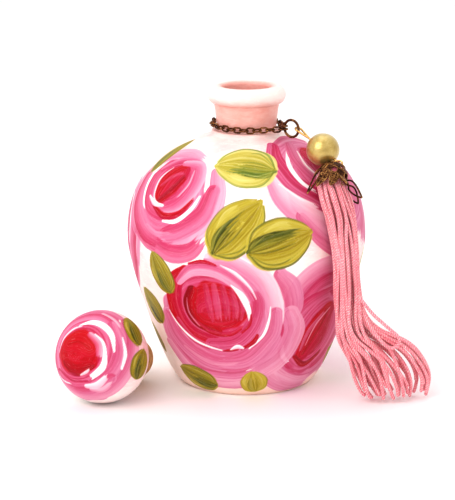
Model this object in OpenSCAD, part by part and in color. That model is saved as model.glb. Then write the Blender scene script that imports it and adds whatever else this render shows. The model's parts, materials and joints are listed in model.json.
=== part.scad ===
// Hand-painted bottle with a loose ball stopper, a neck chain and a pearl-and-tassel pendant.
// Millimetres. +Z is up, the origin is the middle of the foot, -Y is the front.

/* [Bottle] */
// Height of the bottle from the foot to the top of the lip
bottle_h = 125; // [122:0.5:128]
// Radius at the widest part of the body
body_r = 49.75; // [48:0.25:49.75]
// Height of the widest part
belly_z = 62; // [60:0.5:64]
// Radius of the flat foot
foot_r = 28.5; // [27:0.5:30]
// Thickness of the wall
wall = 3.5; // [2.5:0.5:5]

/* [Neck] */
// Radius of the mouth's straight bore
bore_r = 10; // [9.95:0.05:10.5]
// Radius of the lip
lip_r = 16.2; // [15.5:0.1:17]
// Radius at the top of the neck, under the lip
neck_top_r = 13.4; // [12.8:0.1:13.6]
// Radius at the bottom of the neck, inside the chain
neck_r = 12.3; // [11.5:0.1:12.3]
// Radius of the collar that the chain rests on
collar_r = 14.6; // [14:0.1:15]
// Height of the collar's top
collar_z = 106.8; // [106:0.1:106.8]

/* [Stopper] */
// Radius of the painted ball
ball_r = 19; // [18:0.5:20]
// Radius of the cork where it leaves the ball
cork_r = 9.9; // [9:0.1:9.9]
// Radius of the cork's small end
cork_end_r = 8.6; // [8:0.1:9.5]
// Distance from the middle of the ball to the end of the cork
cork_reach = 36; // [32:0.5:38]

/* [Chain] */
// Number of links round the neck
link_count = 35; // [35:2:37]
// Outer length of a link
link_length = 4.15; // [4.1:0.05:4.2]
// Outer width of a link
link_width = 2.9; // [2.8:0.05:2.95]
// Wire thickness of a link
link_wire = 0.68; // [0.6:0.02:0.68]

/* [Pendant] */
// Outer diameter of the jump ring
ring_d = 8; // [8:0.1:8.2]
// Wire thickness of the jump ring
ring_wire = 1; // [0.8:0.1:1]
// Radius of the pearl
pearl_r = 6.75; // [6.5:0.05:6.75]
// Wire thickness of the eye pin
pin_wire = 0.8; // [0.6:0.05:0.8]
// Radius inside the bead cap's rim
cap_r = 5.9; // [5.8:0.05:5.95]
// Thickness of the bead cap's metal
cap_wall = 0.45; // [0.3:0.05:0.5]
// Thickness of a floss strand
strand_d = 1.4; // [1:0.05:1.45]

/* [Hidden] */
$fn = 64;
WIRE_FN = 24;            // facets round a wire, for display only
STRAND_COUNT = 17;
STRAND_SIDES = 8;
STEPS = 3;               // rings of a strand between two stations

// The pendant hangs over the front right shoulder: angle from -Y towards +X.
hang_angle = 52.5;
out_dir = [sin(hang_angle), -cos(hang_angle), 0];
side_dir = [cos(hang_angle), sin(hang_angle), 0];

// Where the loose pieces lie.
ball_at = [-59, -35.3, ball_r];
cork_heading = 20;       // from +Y towards +X
cork_dip = asin(ball_r / norm([cork_reach, cork_end_r])) - atan(cork_end_r / cork_reach);
pearl_at = [30.5, -24.2, 102.6];
ring_z = 109.4;
chain_r = 14;            // middle line of the chain round the neck
chain_z = 108.9;         // its height, before its tilt
chain_apex_r = 19.4;     // where both ends of the chain meet the jump ring
end_link_gap = 0.65;     // half the height between the two end links
end_link_s = 0.55;       // from the jump ring's wire to the middle of an end link

ring_r = (ring_d - ring_wire) / 2;
ring_at = out_dir * (chain_apex_r + ring_r) + [0, 0, ring_z];
pin_pivot = out_dir * (chain_apex_r + 2 * ring_r) + [0, 0, ring_z];
pin_dir = unit(pin_pivot - pearl_at);
pin_loop_r = 1.6;        // middle line of the teardrop's round end
pin_loop_play = 1.25;    // from the jump ring's wire to the end of the teardrop
pin_loop_at = norm(pin_pivot - pearl_at) + pin_loop_play - pin_loop_r;
pin_neck_at = 8.2;       // where the teardrop's two wires part
low_loop_r = 1.2;
low_loop_at = 9.5;       // from the pearl's middle to the lower loop's middle
tassel_pivot = pearl_at - low_loop_at * pin_dir;
cap_axis = unit([-0.45, -0.45, -0.77]);
cap_out = unit(out_dir - (out_dir * cap_axis) * cap_axis);
cap_drop = 1.15;         // from the tassel's pivot down to the cap's top
cap_depth = 5.9;
cap_rim = cap_drop + cap_depth;
cap_hole_r = 2.5;
// [angle round the cap from its outer side, length, flare in degrees] of each petal
PETALS = [[112, 12.5, 2], [80, 9.5, 10], [48, 7, 16], [22, 6.5, 60], [-10, 9.5, 64], [-50, 9, 62]];

knot_top = 3.2;          // along the cap's axis, from the tassel's pivot
knot_end = 6.2;
thread_r = 1.5;

// Stations of the tassel: [middle, half width vector, half depth vector].
STATIONS = [
    [[34.43, -31.73, 94.21], [3.86, 1.48, -2.09], [1.95, -3.21, 1.43]],
    [[33.26, -33.96, 91.31], [4.5, 1.41, -2.13], [2.28, -3.83, 1.4]],
    [[35.36, -37.52, 85.08], [5.49, 4.89, -1.55], [2.44, -3.31, 2.34]],
    [[37.27, -37.84, 77.67], [4.54, 4.65, -0.82], [3.3, -2.62, 0.57]],
    [[38.4, -39.2, 71.0], [4.2, 4.0, 0], [3.0, -3.0, 0.4]],
    [[39.5, -39.4, 61.0], [3.8, 3.7, 0], [3.0, -3.0, 0]],
    [[40.4, -39.0, 47.0], [4.0, 3.2, 0], [2.8, -3.2, 0]],
    [[42.0, -38.4, 36.0], [5.4, 2.4, 1.4], [2.2, -3.6, 0]],
    [[45.7, -37.4, 28.5], [7.8, 1.5, 3.0], [1.4, -3.9, 0.3]],
    [[53.0, -36.4, 21.5], [11.4, 1.0, 4.6], [0.6, -4.1, 0.5]],
    [[57.6, -35.4, 14.5], [13.2, 1.2, 4.8], [0, -4.2, 0.6]],
    [[61.0, -34.6, 7.0], [14.0, 2.0, 3.0], [0, -4.2, 0]],
    [[62.3, -34.0, 0.8], [11.6, 3.0, 0], [0, -4.2, 0]]];

// Curves of the bottle's outline, from the foot to the widest part and on to the collar.
OUT_LOW = [[foot_r, 0.8], [34, 3], [body_r, belly_z - 12], [body_r, belly_z]];
OUT_HIGH = [[body_r, belly_z], [body_r, belly_z + 29.5], [31, 99.5], [collar_r, 105]];
IN_LOW = [[foot_r - wall, wall + 0.5], [31, wall + 3], [body_r - wall, belly_z - 12], [body_r - wall, belly_z]];
IN_HIGH = [[body_r - wall, belly_z], [body_r - wall, belly_z + 26.5], [28.5, 96], [bore_r + 2, 101]];
CURVE_STEPS = 14;

function unit(v) = v / norm(v);
function two(n) = n < 10 ? str("0", n) : str(n);
function bezier(p, t) = pow(1 - t, 3) * p[0] + 3 * pow(1 - t, 2) * t * p[1]
    + 3 * (1 - t) * t * t * p[2] + pow(t, 3) * p[3];
function curve(p) = [for (i = [0:CURVE_STEPS]) bezier(p, i / CURVE_STEPS)];
// Points of a round corner about c, from angle a to angle b.
function corner(c, r, a, b, n = 5) = [for (i = [0:n]) c + r * [cos(a + (b - a) * i / n), sin(a + (b - a) * i / n)]];

CHAIN_LINKS = [for (i = [1:link_count]) str("chain_link_", two(i))];
STRANDS = [for (i = [1:STRAND_COUNT]) str("tassel_strand_", two(i))];

// Stands the children's +Z along z and their +X along x, at point p.
module place(p, z, x) {
    y = cross(z, x);
    multmatrix([[x.x, y.x, z.x, p.x], [x.y, y.y, z.y, p.y], [x.z, y.z, z.z, p.z], [0, 0, 0, 1]]) children();
}

// A wire ring in the XY plane, or the part of one from angle 0 to sweep.
module wire_ring(r, wire, sweep = 360) {
    rotate_extrude(angle = sweep, $fn = 48) translate([r, 0]) circle(d = wire, $fn = WIRE_FN);
}

// A wire loop with straight sides, long along X, in the XY plane.
module wire_link(length, width, wire) {
    bend_r = (width - wire) / 2;
    half_straight = (length - width) / 2;
    for (side = [-1, 1]) {
        translate([side * half_straight, 0, 0]) rotate([0, 0, -90 * side]) wire_ring(bend_r, wire, 180);
        translate([-half_straight, side * bend_r, 0]) rotate([0, 90, 0])
            cylinder(d = wire, h = 2 * half_straight, $fn = WIRE_FN);
    }
}

module wire_between(a, b, wire) {
    z = unit(b - a);
    x = unit(cross(z, abs(z.z) > 0.9 ? [1, 0, 0] : [0, 0, 1]));
    place(a, z, x) cylinder(d = wire, h = norm(b - a), $fn = WIRE_FN);
}

module bottle() {
    lip_z = bottle_h - 4;            // height of the lip's widest part
    outline = concat(
        [[0, 0], [foot_r - 0.8, 0]], curve(OUT_LOW), [for (p = curve(OUT_HIGH)) if (p != OUT_HIGH[0]) p],
        corner([collar_r - 0.9, collar_z - 0.9], 0.9, 0, 90),
        [[neck_r + 0.5, collar_z]], corner([neck_r + 0.5, collar_z + 0.5], -0.5, 90, 0),
        [[neck_r + 0.25, 110.5], [neck_r + 0.6, 114], [neck_top_r, 117.3]],
        [[lip_r - 0.7, lip_z - 1.3]],
        corner([lip_r - 1.2, lip_z], 1.2, -30, 40),
        corner([lip_r - 3.6, bottle_h - 3], 3, 45, 90),
        corner([bore_r + 1.6, bottle_h - 1.6], 1.6, 90, 180),
        [[bore_r, 103]],
        [for (i = [CURVE_STEPS:-1:0]) bezier(IN_HIGH, i / CURVE_STEPS)],
        [for (i = [CURVE_STEPS - 1:-1:0]) bezier(IN_LOW, i / CURVE_STEPS)],
        [[0, wall + 0.5]]);
    color([0.97, 0.90, 0.89]) rotate_extrude($fn = 120) polygon(outline);
}

// Stands the stopper's axis, from the ball out along the cork, where the stopper lies.
module stopper_place() {
    z = [sin(cork_heading) * cos(cork_dip), cos(cork_heading) * cos(cork_dip), -sin(cork_dip)];
    place(ball_at, z, unit(cross([0, 0, 1], z))) children();
}

module stopper_ball() {
    flat_at = 17;
    socket_depth = 6;
    color([0.93, 0.45, 0.58]) stopper_place() difference() {
        sphere(ball_r, $fn = 96);
        translate([0, 0, flat_at]) cylinder(r = ball_r, h = ball_r);
        translate([0, 0, flat_at - socket_depth]) cylinder(r = cork_r + 0.05, h = ball_r);
    }
}

module stopper_cork() {
    cork_start = 11.1;
    straight = 9;
    edge = 0.8;
    color([0.78, 0.60, 0.42]) stopper_place() rotate_extrude($fn = 72) polygon([
        [0, cork_start], [cork_r, cork_start], [cork_r, cork_start + straight],
        [cork_end_r, cork_reach - edge], [cork_end_r - edge, cork_reach], [0, cork_reach]]);
}

// The chain's middle line: two straight runs from the jump ring, tangent to a circle round the neck.
tangent_angle = acos(chain_r / chain_apex_r);
run_length = sqrt(chain_apex_r * chain_apex_r - chain_r * chain_r);
arc_length = (360 - 2 * tangent_angle) * PI / 180 * chain_r;
chain_length = 2 * run_length + arc_length;
function neck_point(a) = [chain_r * sin(a), -chain_r * cos(a), chain_z - 0.45 * cos(a) - 0.35 * sin(a)];
function chain_point(s) =
    s < run_length ? apex(1) + (neck_point(hang_angle + tangent_angle) - apex(1)) * s / run_length
    : s > chain_length - run_length
        ? apex(-1) + (neck_point(hang_angle - tangent_angle) - apex(-1)) * (chain_length - s) / run_length
    : neck_point(hang_angle + tangent_angle + (s - run_length) / chain_r * 180 / PI);
function apex(side) = out_dir * chain_apex_r + [0, 0, ring_z + side * end_link_gap];

// Link number i, counted from 0, alternates between lying flat and standing on edge.
module chain_link(i) {
    s = end_link_s + i * (chain_length - 2 * end_link_s) / (link_count - 1);
    x = unit(chain_point(s + 0.2) - chain_point(s - 0.2));
    flat_up = unit([0, 0, 1] - x.z * x);
    at_end = i == 0 || i == link_count - 1;
    roll = (i % 2 == 0 ? 0 : 90) + (at_end ? 0 : 12 + 7 * sin(i * 97));
    color([0.42, 0.30, 0.18]) place(chain_point(s), flat_up, x) rotate([roll, 0, 0])
        wire_link(link_length, link_width, link_wire);
}

module jump_ring() {
    color([0.36, 0.26, 0.16]) place(ring_at, side_dir, out_dir) wire_ring(ring_r, ring_wire);
}

module eye_pin() {
    half = asin(pin_loop_r / (pin_loop_at - pin_neck_at));
    color([0.80, 0.66, 0.35]) {
        place(pearl_at, cross(pin_dir, side_dir), pin_dir) {
            translate([pin_loop_at, 0, 0]) rotate([0, 0, -90 - half])
                wire_ring(pin_loop_r, pin_wire, 180 + 2 * half);
            for (side = [-1, 1]) {
                bend = [pin_loop_at - pin_loop_r * sin(half), side * pin_loop_r * cos(half), 0];
                wire_between([pin_neck_at, 0, 0], bend, pin_wire);
                translate(bend) sphere(d = pin_wire + 0.04, $fn = WIRE_FN);
            }
            translate([pin_neck_at, 0, 0]) sphere(d = pin_wire + 0.04, $fn = WIRE_FN);
        }
        wire_between(pearl_at - (low_loop_at - low_loop_r) * pin_dir, pearl_at + pin_neck_at * pin_dir, pin_wire);
        place(tassel_pivot, unit(cross(pin_dir, cap_axis)), pin_dir) wire_ring(low_loop_r, pin_wire);
    }
}

module pearl_bead() {
    color([0.87, 0.76, 0.48]) difference() {
        translate(pearl_at) sphere(pearl_r, $fn = 72);
        wire_between(pearl_at - 2 * pearl_r * pin_dir, pearl_at + 2 * pearl_r * pin_dir, pin_wire + 0.1);
    }
}

// Stands +Z down the tassel's cap and +X towards its outer side.
module cap_place() {
    place(tassel_pivot, cap_axis, cap_out) children();
}

function cap_wall_point(r, drop, a) = [r * cos(a), cap_rim - drop * sin(a)];

module bead_cap() {
    full_drop = cap_depth / sqrt(1 - pow(cap_hole_r / cap_r, 2));
    top_angle = acos(cap_hole_r / cap_r);
    steps = 7;
    inner = [for (i = [0:steps]) cap_wall_point(cap_r, full_drop, top_angle * i / steps)];
    outer = [for (i = [steps:-1:0])
        cap_wall_point(cap_r + cap_wall, full_drop + cap_wall, top_angle * i / steps)];
    petal_wire = 0.6;
    petal_width = 3.8;
    color([0.45, 0.34, 0.20]) cap_place() {
        difference() {
            rotate_extrude($fn = 72) polygon(concat(inner, outer));
            for (a = [0:60:300]) rotate([0, 0, a]) translate([0, 0, cap_rim - 3.2]) rotate([0, 90, 0])
                cylinder(r = 0.8, h = 2 * cap_r, $fn = WIRE_FN);
        }
        for (p = PETALS) rotate([0, 0, p[0]]) translate([cap_r + cap_wall, 0, cap_rim - 1])
            rotate([0, p[2] - 90, 0]) translate([p[1] / 2 - petal_wire / 2, 0, 0])
                wire_link(p[1], petal_width, petal_wire);
    }
}

module tassel_knot() {
    color([0.93, 0.52, 0.60]) {
        cap_place() translate([0, 0, knot_top]) cylinder(r1 = 4.2, r2 = 5, h = knot_end - knot_top);
        place(tassel_pivot + thread_r * cap_axis, unit(cross(cross(pin_dir, cap_axis), cap_axis)), cap_axis)
            wire_ring(thread_r, 0.8);
    }
}

// A strand's middle line passes each station at the same angle round the bundle.
function station_point(k, a) = STATIONS[k][0] + cos(a) * STATIONS[k][1] + sin(a) * STATIONS[k][2];
function smooth(p0, p1, p2, p3, t) = 0.5 * (2 * p1 + (p2 - p0) * t + (2 * p0 - 5 * p1 + 4 * p2 - p3) * t * t
    + (3 * p1 - p0 - 3 * p2 + p3) * t * t * t);
function strand_path(a) = let (n = len(STATIONS), p = [for (k = [0:n - 1]) station_point(k, a)])
    concat([for (k = [0:n - 2], j = [0:STEPS - 1])
        smooth(p[max(k - 1, 0)], p[k], p[k + 1], p[min(k + 2, n - 1)], j / STEPS)], [p[n - 1]]);

// A tube with STRAND_SIDES sides along a list of points.
module tube(path, r) {
    n = len(path);
    sides = STRAND_SIDES;
    dirs = [for (i = [0:n - 1]) unit(path[min(i + 1, n - 1)] - path[max(i - 1, 0)])];
    points = [for (i = [0:n - 1]) let (x = unit(cross(dirs[i], [0.3, 1, 0.2])), y = cross(dirs[i], x))
        for (j = [0:sides - 1]) path[i] + r * (cos(j * 360 / sides) * x + sin(j * 360 / sides) * y)];
    skin = [for (i = [0:n - 2], j = [0:sides - 1]) let (a = i * sides + j, b = i * sides + (j + 1) % sides)
        [a, a + sides, b + sides, b]];
    polyhedron(points, concat([[for (j = [0:sides - 1]) j]], skin,
        [[for (j = [sides - 1:-1:0]) (n - 1) * sides + j]]), convexity = 8);
}

// Strand number i, counted from 0.
module tassel_strand(i) {
    color([0.95, 0.55, 0.62]) tube(strand_path(i * 360 / STRAND_COUNT), strand_d / 2);
}

bottle();
stopper_ball();
stopper_cork();
jump_ring();
eye_pin();
pearl_bead();
bead_cap();
tassel_knot();
for (i = [0:link_count - 1]) chain_link(i);
for (i = [0:STRAND_COUNT - 1]) tassel_strand(i);
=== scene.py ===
"""A hand-painted bottle with a loose ball-and-cork stopper, a neck chain, a pearl and a floss tassel.

Lengths are in millimetres, as in the CAD, until MM turns them into Blender's metres.
"""

import json

import bmesh
import bpy
import numpy as np
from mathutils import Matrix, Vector

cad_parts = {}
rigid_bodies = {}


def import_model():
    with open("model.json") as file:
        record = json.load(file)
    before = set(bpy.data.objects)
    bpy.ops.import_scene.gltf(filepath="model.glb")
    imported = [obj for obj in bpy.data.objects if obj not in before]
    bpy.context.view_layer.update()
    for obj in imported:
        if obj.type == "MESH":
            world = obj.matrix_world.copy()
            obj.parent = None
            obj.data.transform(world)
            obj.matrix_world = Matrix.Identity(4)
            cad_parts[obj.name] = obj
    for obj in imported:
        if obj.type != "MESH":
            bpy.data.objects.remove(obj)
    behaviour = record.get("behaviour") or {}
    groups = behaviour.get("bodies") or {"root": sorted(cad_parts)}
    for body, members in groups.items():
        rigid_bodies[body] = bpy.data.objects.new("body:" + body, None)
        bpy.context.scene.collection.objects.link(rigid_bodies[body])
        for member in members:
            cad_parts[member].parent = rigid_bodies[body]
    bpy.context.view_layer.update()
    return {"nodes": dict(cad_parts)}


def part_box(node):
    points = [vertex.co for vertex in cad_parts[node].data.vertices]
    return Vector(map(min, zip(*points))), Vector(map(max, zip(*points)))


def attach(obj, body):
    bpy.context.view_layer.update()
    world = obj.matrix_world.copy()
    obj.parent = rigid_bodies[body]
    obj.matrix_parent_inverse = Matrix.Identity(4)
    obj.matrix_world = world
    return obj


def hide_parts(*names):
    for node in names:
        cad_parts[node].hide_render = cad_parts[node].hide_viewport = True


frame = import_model()

MM = 0.001
UP = np.array([0.0, 0.0, 1.0])


# ---------------------------------------------------------------- shapes

def unit(v):
    v = np.asarray(v, float)
    return v / np.linalg.norm(v, axis=-1, keepdims=True)


def smooth(t):
    t = np.clip(t, 0, 1)
    return t * t * (3 - 2 * t)


def bezier(p, n):
    """n + 1 points on the cubic with these four control points."""
    p = np.array(p, float)
    t = np.linspace(0, 1, n + 1)[:, None]
    return (1 - t) ** 3 * p[0] + 3 * (1 - t) ** 2 * t * p[1] + 3 * (1 - t) * t * t * p[2] + t ** 3 * p[3]


def through(points, steps):
    """A Catmull-Rom curve through the points, with this many steps between two of them."""
    p = np.array(points, float)
    p = np.vstack([p[:1], p, p[-1:]])
    t = (np.arange(steps) / steps)[:, None]
    out = []
    for a, b, c, d in zip(p[:-3], p[1:-2], p[2:-1], p[3:]):
        out.append(0.5 * (2 * b + (c - a) * t + (2 * a - 5 * b + 4 * c - d) * t ** 2
                          + (3 * b - a - 3 * c + d) * t ** 3))
    return np.vstack(out + [p[-1:]])


def evenly(path, gap):
    """The same path with points about this far apart."""
    s = np.concatenate([[0], np.cumsum(np.linalg.norm(np.diff(path, axis=0), axis=1))])
    at = np.linspace(0, s[-1], max(3, int(round(s[-1] / gap)) + 1))
    return np.stack([np.interp(at, s, path[:, k]) for k in range(path.shape[1])], 1)


def arc_points(centre, radius, start, end, gap_deg=6):
    """Points of an arc in a plane, from one angle in degrees to another."""
    a = np.radians(np.linspace(start, end, max(2, int(abs(end - start) / gap_deg) + 1)))
    return np.stack([centre[0] + radius * np.cos(a), centre[1] + radius * np.sin(a)], 1)


def make_piece(name, verts, faces, body, material):
    """A mesh piece from points in millimetres, riding on a CAD body."""
    mesh = bpy.data.meshes.new(name)
    mesh.from_pydata((np.asarray(verts) * MM).tolist(), [], [list(map(int, f)) for f in faces])
    mesh.update()
    mesh.polygons.foreach_set("use_smooth", [True] * len(mesh.polygons))
    mesh.materials.append(material)
    piece = bpy.data.objects.new(name, mesh)
    bpy.context.collection.objects.link(piece)
    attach(piece, body)
    return piece


def set_attribute(piece, name, kind, values):
    """Gives each point a value. kind is FLOAT_COLOR or FLOAT_VECTOR."""
    field = "color" if kind == "FLOAT_COLOR" else "vector"
    attribute = piece.data.attributes.new(name, kind, "POINT")
    attribute.data.foreach_set(field, np.asarray(values, np.float32).ravel())


def grid_faces(rows, columns, wrap):
    """Quads of a grid of points, joined to itself across the columns if wrap is true."""
    i, j = np.meshgrid(np.arange(rows - 1), np.arange(columns if wrap else columns - 1), indexing="ij")
    k = (j + 1) % columns
    corners = [i * columns + j, i * columns + k, (i + 1) * columns + k, (i + 1) * columns + j]
    return np.stack(corners, -1).reshape(-1, 4)


def lathe(profile, segments, axes=None, at=(0, 0, 0)):
    """Turns a closed profile of (radius, height) into points and faces. axes are the unit x, y and z to stand
    it on."""
    profile = np.asarray(profile, float)
    a = np.linspace(0, 2 * np.pi, segments, endpoint=False)
    ring = np.stack([np.cos(a), np.sin(a)], 1)
    verts = np.concatenate([profile[:, None, :1] * ring[None], np.repeat(profile[:, 1:, None], segments, 1)], -1)
    faces = grid_faces(len(profile), segments, True)
    verts = verts.reshape(-1, 3)
    if axes is not None:
        verts = verts @ np.array(axes, float)
    return verts + np.asarray(at, float), faces


def tidy_poles(piece):
    """Merges the points that meet on a lathe's axis."""
    mesh = bmesh.new()
    mesh.from_mesh(piece.data)
    bmesh.ops.remove_doubles(mesh, verts=mesh.verts, dist=1e-7)
    bmesh.ops.recalc_face_normals(mesh, faces=mesh.faces)
    mesh.to_mesh(piece.data)
    mesh.free()


def tube(path, radius, sides, closed=False, lobes=0, lobe_depth=0.0, pitch=1.0):
    """A tube along a path, with rounded ends unless it is closed. Its lobes turn once round it in every pitch."""
    path = np.asarray(path, float)
    n = len(path)
    ahead = np.roll(path, -1, 0) if closed else np.vstack([path[1:], path[-1:]])
    behind = np.roll(path, 1, 0) if closed else np.vstack([path[:1], path[:-1]])
    along = unit(ahead - behind)
    side = np.empty_like(path)
    side[0] = unit(np.cross(along[0], [0.31, 0.93, 0.2]))
    for k in range(1, n):
        side[k] = unit(side[k - 1] - along[k] * (side[k - 1] @ along[k]))
    other = np.cross(along, side)
    if closed:
        turned = side[-1] - along[0] * (side[-1] @ along[0])
        slip = np.arctan2(turned @ other[0], turned @ side[0])
        a = (-slip * np.arange(n) / n)[:, None]
        side, other = side * np.cos(a) + other * np.sin(a), other * np.cos(a) - side * np.sin(a)
    s = np.concatenate([[0], np.cumsum(np.linalg.norm(np.diff(path, axis=0), axis=1))])
    a = np.linspace(0, 2 * np.pi, sides, endpoint=False)
    r = np.broadcast_to(np.asarray(radius, float).reshape(-1, 1), (n, sides))
    if lobes:
        r = r * (1 + lobe_depth * np.cos(lobes * (a[None] - 2 * np.pi * s[:, None] / pitch)))
    if not closed:
        end = np.minimum(s, s[-1] - s)[:, None] / np.maximum(r, 1e-6)
        r = r * np.sqrt(np.clip(1 - (1 - np.clip(end, 0, 1)) ** 2, 0.12, 1))
    verts = path[:, None] + r[..., None] * (np.cos(a)[None, :, None] * side[:, None]
                                            + np.sin(a)[None, :, None] * other[:, None])
    faces = grid_faces(n + 1 if closed else n, sides, True)
    if closed:
        faces = faces % (n * sides)
    faces = faces.tolist()
    if not closed:
        faces += [list(range(sides))[::-1], [(n - 1) * sides + k for k in range(sides)]]
    return verts.reshape(-1, 3), faces, s


def join_parts(parts):
    """One list of points and faces from several."""
    verts, faces, base = [], [], 0
    for part in parts:
        verts.append(part[0])
        faces += [[int(k) + base for k in f] for f in part[1]]
        base += len(part[0])
    return np.vstack(verts), faces


# ---------------------------------------------------------------- colours and materials

def linear(r, g, b):
    """A screen colour from 0 to 255 as Blender's linear one."""
    c = np.array([r, g, b], float) / 255
    return np.where(c <= 0.04045, c / 12.92, ((c + 0.055) / 1.055) ** 2.4)


class Nodes:
    """A material and short ways to add its nodes."""

    def __init__(self, name):
        self.material = bpy.data.materials.new(name)
        self.material.use_nodes = True
        self.tree = self.material.node_tree
        self.shader = self.tree.nodes["Principled BSDF"]

    def add(self, kind, inputs=None, **settings):
        node = self.tree.nodes.new("ShaderNode" + kind)
        for key, value in settings.items():
            setattr(node, key, value)
        for key, value in (inputs or {}).items():
            self.set(node, key, value)
        return node

    def set(self, node, key, value):
        socket = node.inputs[key]
        if isinstance(value, bpy.types.NodeSocket):
            self.tree.links.new(value, socket)
        elif np.ndim(value) == 1 and len(value) == 3 and socket.type == "RGBA":
            socket.default_value = (*value, 1)
        else:
            socket.default_value = value

    def finish(self, **inputs):
        for key, value in inputs.items():
            self.set(self.shader, key.replace("_", " "), value)
        return self.material

    def place(self, stretch=(1, 1, 1)):
        """Coordinates in millimetres, times stretch."""
        where = self.add("TexCoord").outputs["Object"]
        return self.add("Mapping", {"Vector": where, "Scale": tuple(s / MM for s in stretch)}).outputs[0]

    def noise(self, vector, scale, detail=3.0, roughness=0.55, distortion=0.0):
        return self.add("TexNoise", {"Vector": vector, "Scale": scale, "Detail": detail,
                                     "Roughness": roughness, "Distortion": distortion}).outputs["Fac"]

    def ramp(self, value, stops):
        """stops are (position, colour or grey)."""
        node = self.add("ValToRGB", {"Fac": value})
        elements = node.color_ramp.elements
        while len(elements) < len(stops):
            elements.new(0.5)
        for element, (position, colour) in zip(elements, stops):
            element.position = position
            element.color = (*((colour,) * 3 if np.ndim(colour) == 0 else colour), 1)
        return node.outputs[0]

    def mix(self, amount, a, b, blend="MIX"):
        node = self.add("Mix", data_type="RGBA", blend_type=blend)
        self.set(node, 0, amount)
        self.set(node, 6, a)
        self.set(node, 7, b)
        return node.outputs[2]

    def math(self, operation, a, b=0.0, c=0.0):
        node = self.add("Math", operation=operation)
        for k, value in enumerate((a, b, c)):
            self.set(node, k, value)
        return node.outputs[0]

    def bump(self, height, strength, distance):
        """A normal that is raised by height. distance is in millimetres."""
        return self.add("Bump", {"Height": height, "Strength": strength, "Distance": distance * MM}).outputs[0]


# FOOT_BOUNCE_FADE gives the heights over which the peach painted bounce light at the foot fades out.
LIP_FADE, BORE_FADE, FOOT_BOUNCE_FADE = (117.6, 121.0), (10.3, 12.6), (13.0, 1.0)     # heights, radii, heights


def base_coat(name, blush_above=None):
    """Satin off-white paint with faint brush marks, a peach painted bounce light at its foot and blushing to salmon
    above a height.
    """
    n = Nodes(name)
    patches = n.noise(n.place(), 0.035, 3, 0.6)
    brushed = n.noise(n.place(stretch=(1, 1, 3.2)), 0.22, 6, 0.7, 0.4)
    fine = n.noise(n.place(stretch=(0.6, 0.6, 6)), 0.9, 3, 0.6)
    colour = n.ramp(patches, [(0.34, linear(252, 244, 238)), (0.5, linear(250, 230, 226)),
                              (0.68, linear(246, 200, 202))])
    colour = n.mix(n.ramp(brushed, [(0.5, 0.0), (0.66, 0.6)]), colour, linear(254, 248, 244))
    if blush_above is not None:
        x, y, height = n.add("SeparateXYZ", {"Vector": n.place()}).outputs
        wavy = n.math("ADD", height, n.math("MULTIPLY", n.math("SUBTRACT", patches, 0.5), 4.0))
        radius = n.math("SQRT", n.math("ADD", n.math("MULTIPLY", x, x), n.math("MULTIPLY", y, y)))
        neck = n.add("MapRange", {"Value": wavy, "From Min": blush_above - 0.5, "From Max": blush_above + 3.5})
        lip = n.add("MapRange", {"Value": height, "From Min": LIP_FADE[0], "From Max": LIP_FADE[1]})
        outside = n.add("MapRange", {"Value": radius, "From Min": BORE_FADE[0], "From Max": BORE_FADE[1],
                                     "To Max": 0.85})
        bare = n.math("MULTIPLY", lip.outputs[0], outside.outputs[0])
        salmon = n.mix(n.ramp(brushed, [(0.4, 0.0), (0.7, 0.5)]), linear(242, 176, 164), linear(250, 214, 206))
        colour = n.mix(n.math("MULTIPLY", neck.outputs[0], n.math("SUBTRACT", 1.0, bare)), colour, salmon)
        # A warm peach painted bounce light from the floor fades upward from the foot and lightens the shade low on
        # the bottle.
        foot = n.add("MapRange", {"Value": wavy, "From Min": FOOT_BOUNCE_FADE[0], "From Max": FOOT_BOUNCE_FADE[1], "To Max": 0.7})
        colour = n.mix(foot.outputs[0], colour, linear(255, 216, 196))
    colour = n.mix(n.ramp(fine, [(0.3, 0.08), (0.6, 0.0)]), colour, linear(240, 190, 188))
    bump = n.bump(n.math("ADD", brushed, n.math("MULTIPLY", fine, 0.35)), 0.35, 0.12)
    rough = n.math("MULTIPLY_ADD", brushed, 0.14, 0.3)
    return n.finish(Base_Color=colour, Roughness=rough, Normal=bump, Coat_Weight=0.15, Coat_Roughness=0.16,
                    Specular_IOR_Level=0.3)


def paint_film(name):
    """Brushed acrylic. The colour and the brush's own directions come from the mesh."""
    n = Nodes(name)
    colour = n.add("Attribute", attribute_name="paint").outputs["Color"]
    brush = n.add("Attribute", attribute_name="brush").outputs["Vector"]
    lines = n.add("Mapping", {"Vector": brush, "Scale": (1.0, 0.07, 1.0)}).outputs[0]
    hairs = n.noise(lines, 3.4, 4, 0.65)
    broad = n.noise(lines, 0.9, 3, 0.6, 0.3)
    pale = n.mix(n.ramp(hairs, [(0.56, 0.0), (0.74, 0.2)]), colour, linear(255, 214, 220), "SCREEN")
    deep = n.mix(n.ramp(broad, [(0.32, 0.22), (0.52, 0.0)]), pale, n.mix(1.0, colour, colour, "MULTIPLY"))
    bump = n.bump(n.math("ADD", hairs, broad), 0.5, 0.1)
    rough = n.math("MULTIPLY_ADD", broad, 0.2, 0.34)
    return n.finish(Base_Color=deep, Roughness=rough, Normal=bump, Coat_Weight=0.06, Coat_Roughness=0.12,
                    Specular_IOR_Level=0.14)


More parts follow.
